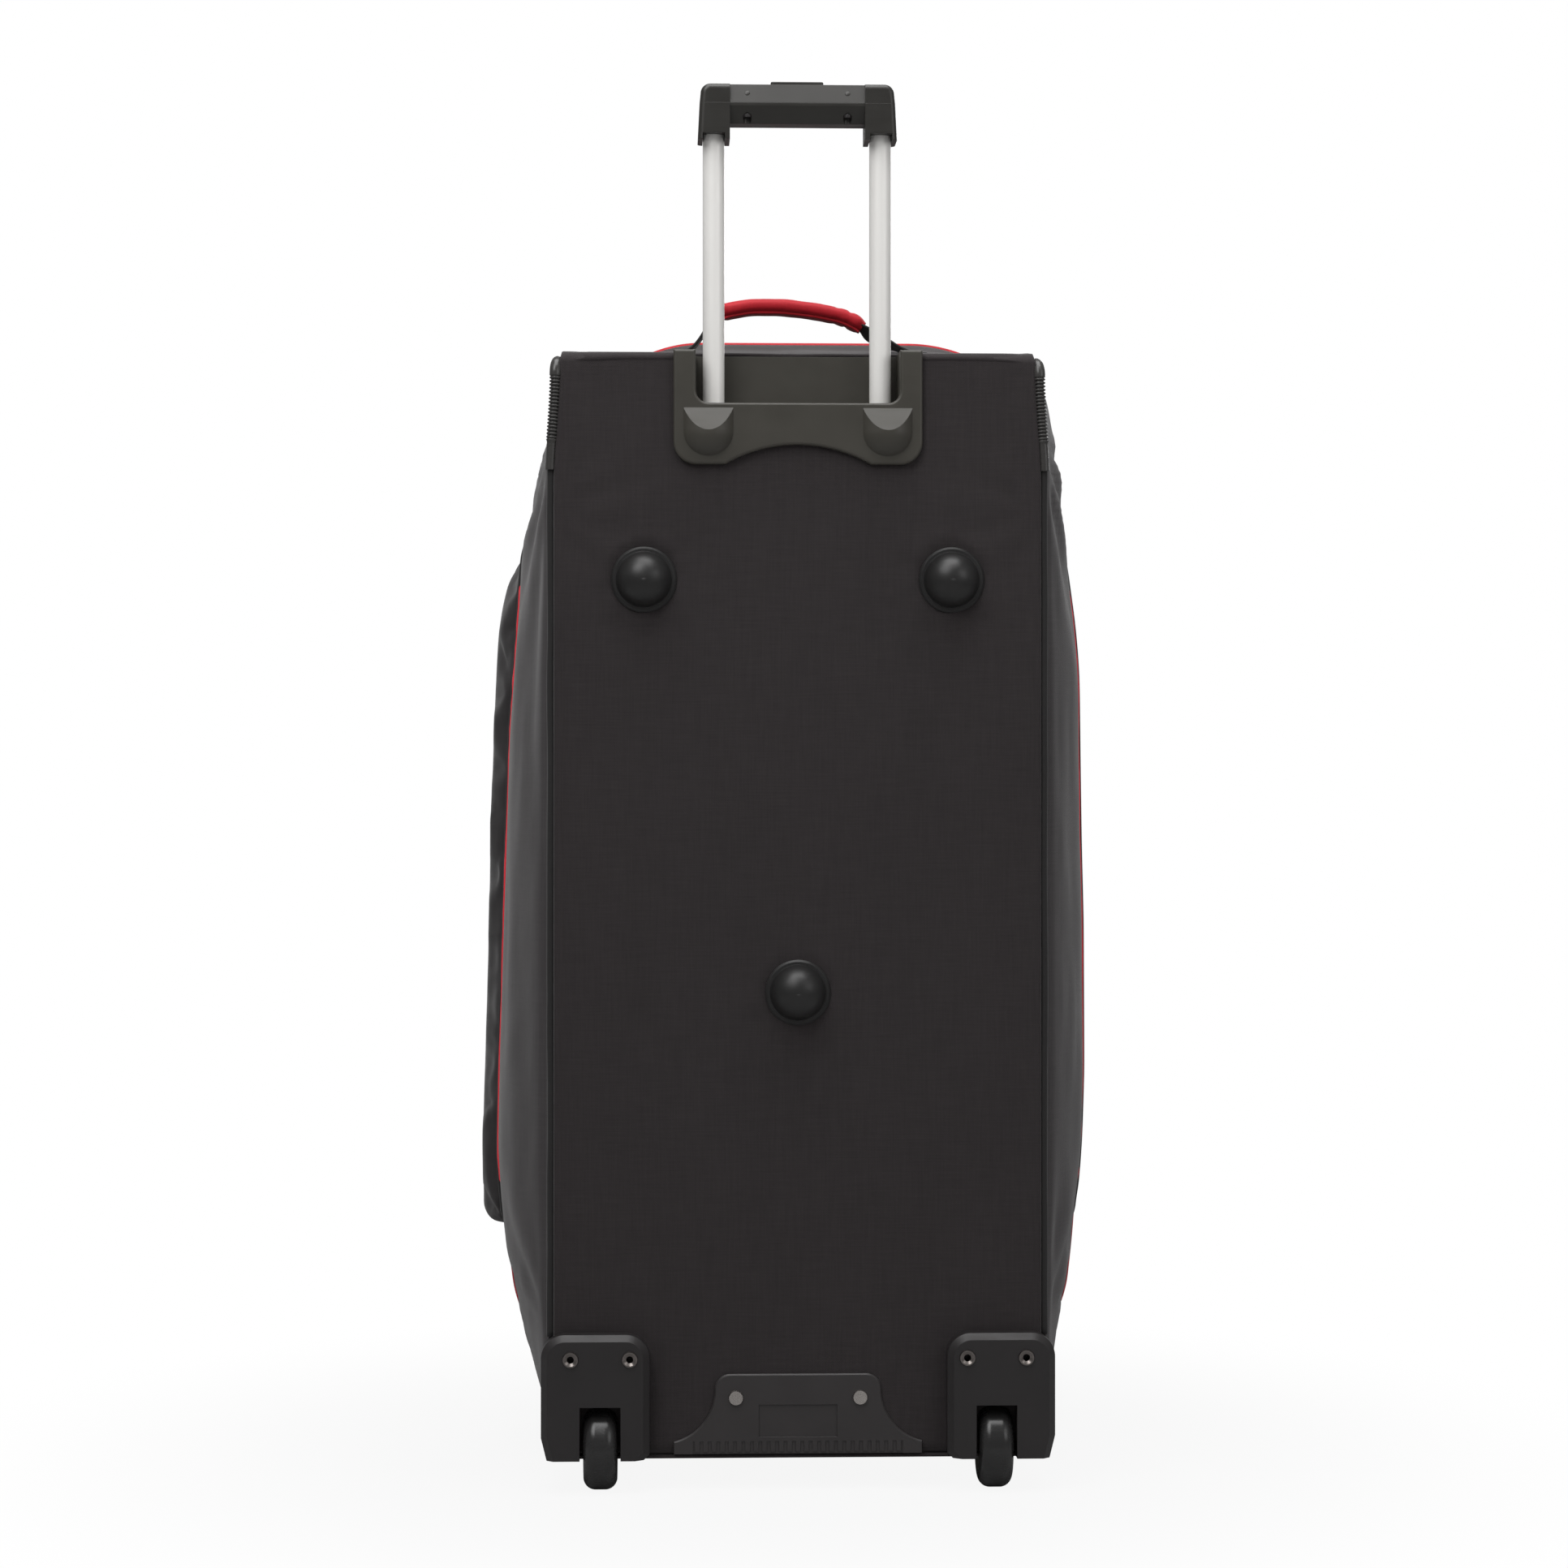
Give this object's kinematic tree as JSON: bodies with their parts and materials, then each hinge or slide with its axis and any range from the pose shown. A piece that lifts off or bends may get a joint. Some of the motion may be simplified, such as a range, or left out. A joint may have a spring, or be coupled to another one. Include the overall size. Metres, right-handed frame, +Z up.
{
  "type": "rolling duffel bag",
  "caption": "Upright wheeled duffel with a stiffened back, telescopic tube handle in a moulded well, skate wheels in corner housings, side pockets and a zipped lid.",
  "frame": {"origin": "middle of the floor area that the standing bag covers, on the floor", "axes": "+Z up, +X to the right as seen facing the back panel, +Y from the back panel towards the zipped front"},
  "size_m": [0.473, 0.376, 1.009],
  "materials": {
    "back_fabric": "plain-weave polyester, near black, matt",
    "side_fabric": "plain-weave polyester, near black, slightly lighter",
    "red_trim": "red piping and padded red cover",
    "webbing": "black woven webbing",
    "black_plastic": "injection-moulded, fine satin grain",
    "glossy_plastic": "polished black moulding",
    "board_plastic": "plastic board",
    "tube_metal": "satin anodised",
    "steel": "plated steel, slightly worn",
    "tyre_rubber": "smooth polyurethane tyre",
    "zip": "nylon coil and painted slider"
  },
  "bodies": {
    "bag": {"back_panel": "back_fabric", "base_board": "board_plastic", "bottom_end_panel": "side_fabric", "dome_feet": "glossy_plastic", "front_panel": "side_fabric", "front_seam_piping": "red_trim", "grab_handle_strap": "webbing", "grab_handle_wrap": "red_trim", "handle_well": "black_plastic", "kick_plate": "black_plastic", "kick_plate_rivets": "steel", "left_axle_washers": "steel", "left_corner_guard": "black_plastic", "left_edge_piping": "back_fabric", "left_housing_rivets": "steel", "left_outer_tube": "tube_metal", "left_pocket_piping": "red_trim", "left_side_panel": "side_fabric", "left_side_pocket": "side_fabric", "left_stand_foot": "black_plastic", "left_wheel_axle": "steel", "left_wheel_housing": "black_plastic", "right_axle_washers": "steel", "right_corner_guard": "black_plastic", "right_edge_piping": "back_fabric", "right_housing_rivets": "steel", "right_outer_tube": "tube_metal", "right_pocket_piping": "red_trim", "right_side_panel": "side_fabric", "right_side_pocket": "side_fabric", "right_stand_foot": "black_plastic", "right_wheel_axle": "steel", "right_wheel_housing": "black_plastic", "top_end_panel": "side_fabric", "tube_bracket": "black_plastic", "tube_collars": "black_plastic", "zip_chain": "zip"},
    "pull_handle": {"left_inner_tube": "tube_metal", "right_inner_tube": "tube_metal", "slider_feet": "black_plastic", "lock_pins": "steel", "grip_lower_shell": "black_plastic", "grip_upper_shell": "black_plastic", "grip_screws": "steel"},
    "button": {"release_button": "black_plastic", "button_bridge": "black_plastic", "push_rods": "steel"},
    "left_wheel": {"left_tyre": "tyre_rubber", "left_wheel_hub": "black_plastic", "left_wheel_bearings": "steel"},
    "right_wheel": {"right_tyre": "tyre_rubber", "right_wheel_hub": "black_plastic", "right_wheel_bearings": "steel"},
    "lid": {"lid_panel": "side_fabric"},
    "zip_pull": {"zip_slider": "zip", "zip_puller": "zip"}
  },
  "joints": [
    {"name": "handle_slide", "type": "slide", "parent": "bag", "child": "pull_handle", "axis": [0, 0, 1], "range_m": [-0.19, 0]},
    {"name": "button_press", "type": "slide", "parent": "pull_handle", "child": "button", "axis": [0, 0, -1], "range_m": [0, 0.003], "stiffness_N_per_m": 800, "springref_m": -0.002},
    {"name": "left_wheel_spin", "type": "hinge", "parent": "bag", "child": "left_wheel", "pos_m": [-0.141, -0.158, 0.03], "axis": [1, 0, 0], "continuous": true},
    {"name": "right_wheel_spin", "type": "hinge", "parent": "bag", "child": "right_wheel", "pos_m": [0.141, -0.158, 0.03], "axis": [1, 0, 0], "continuous": true},
    {"name": "lid_hinge", "type": "hinge", "parent": "bag", "child": "lid", "pos_m": [0, 0.166, 0.1203], "axis": [-1, 0, 0], "range_deg": [0, 90]},
    {"name": "zip_slide", "type": "slide", "parent": "bag", "child": "zip_pull", "axis": [0, 0, 1], "range_m": [-0.5, 0]}
  ]
}
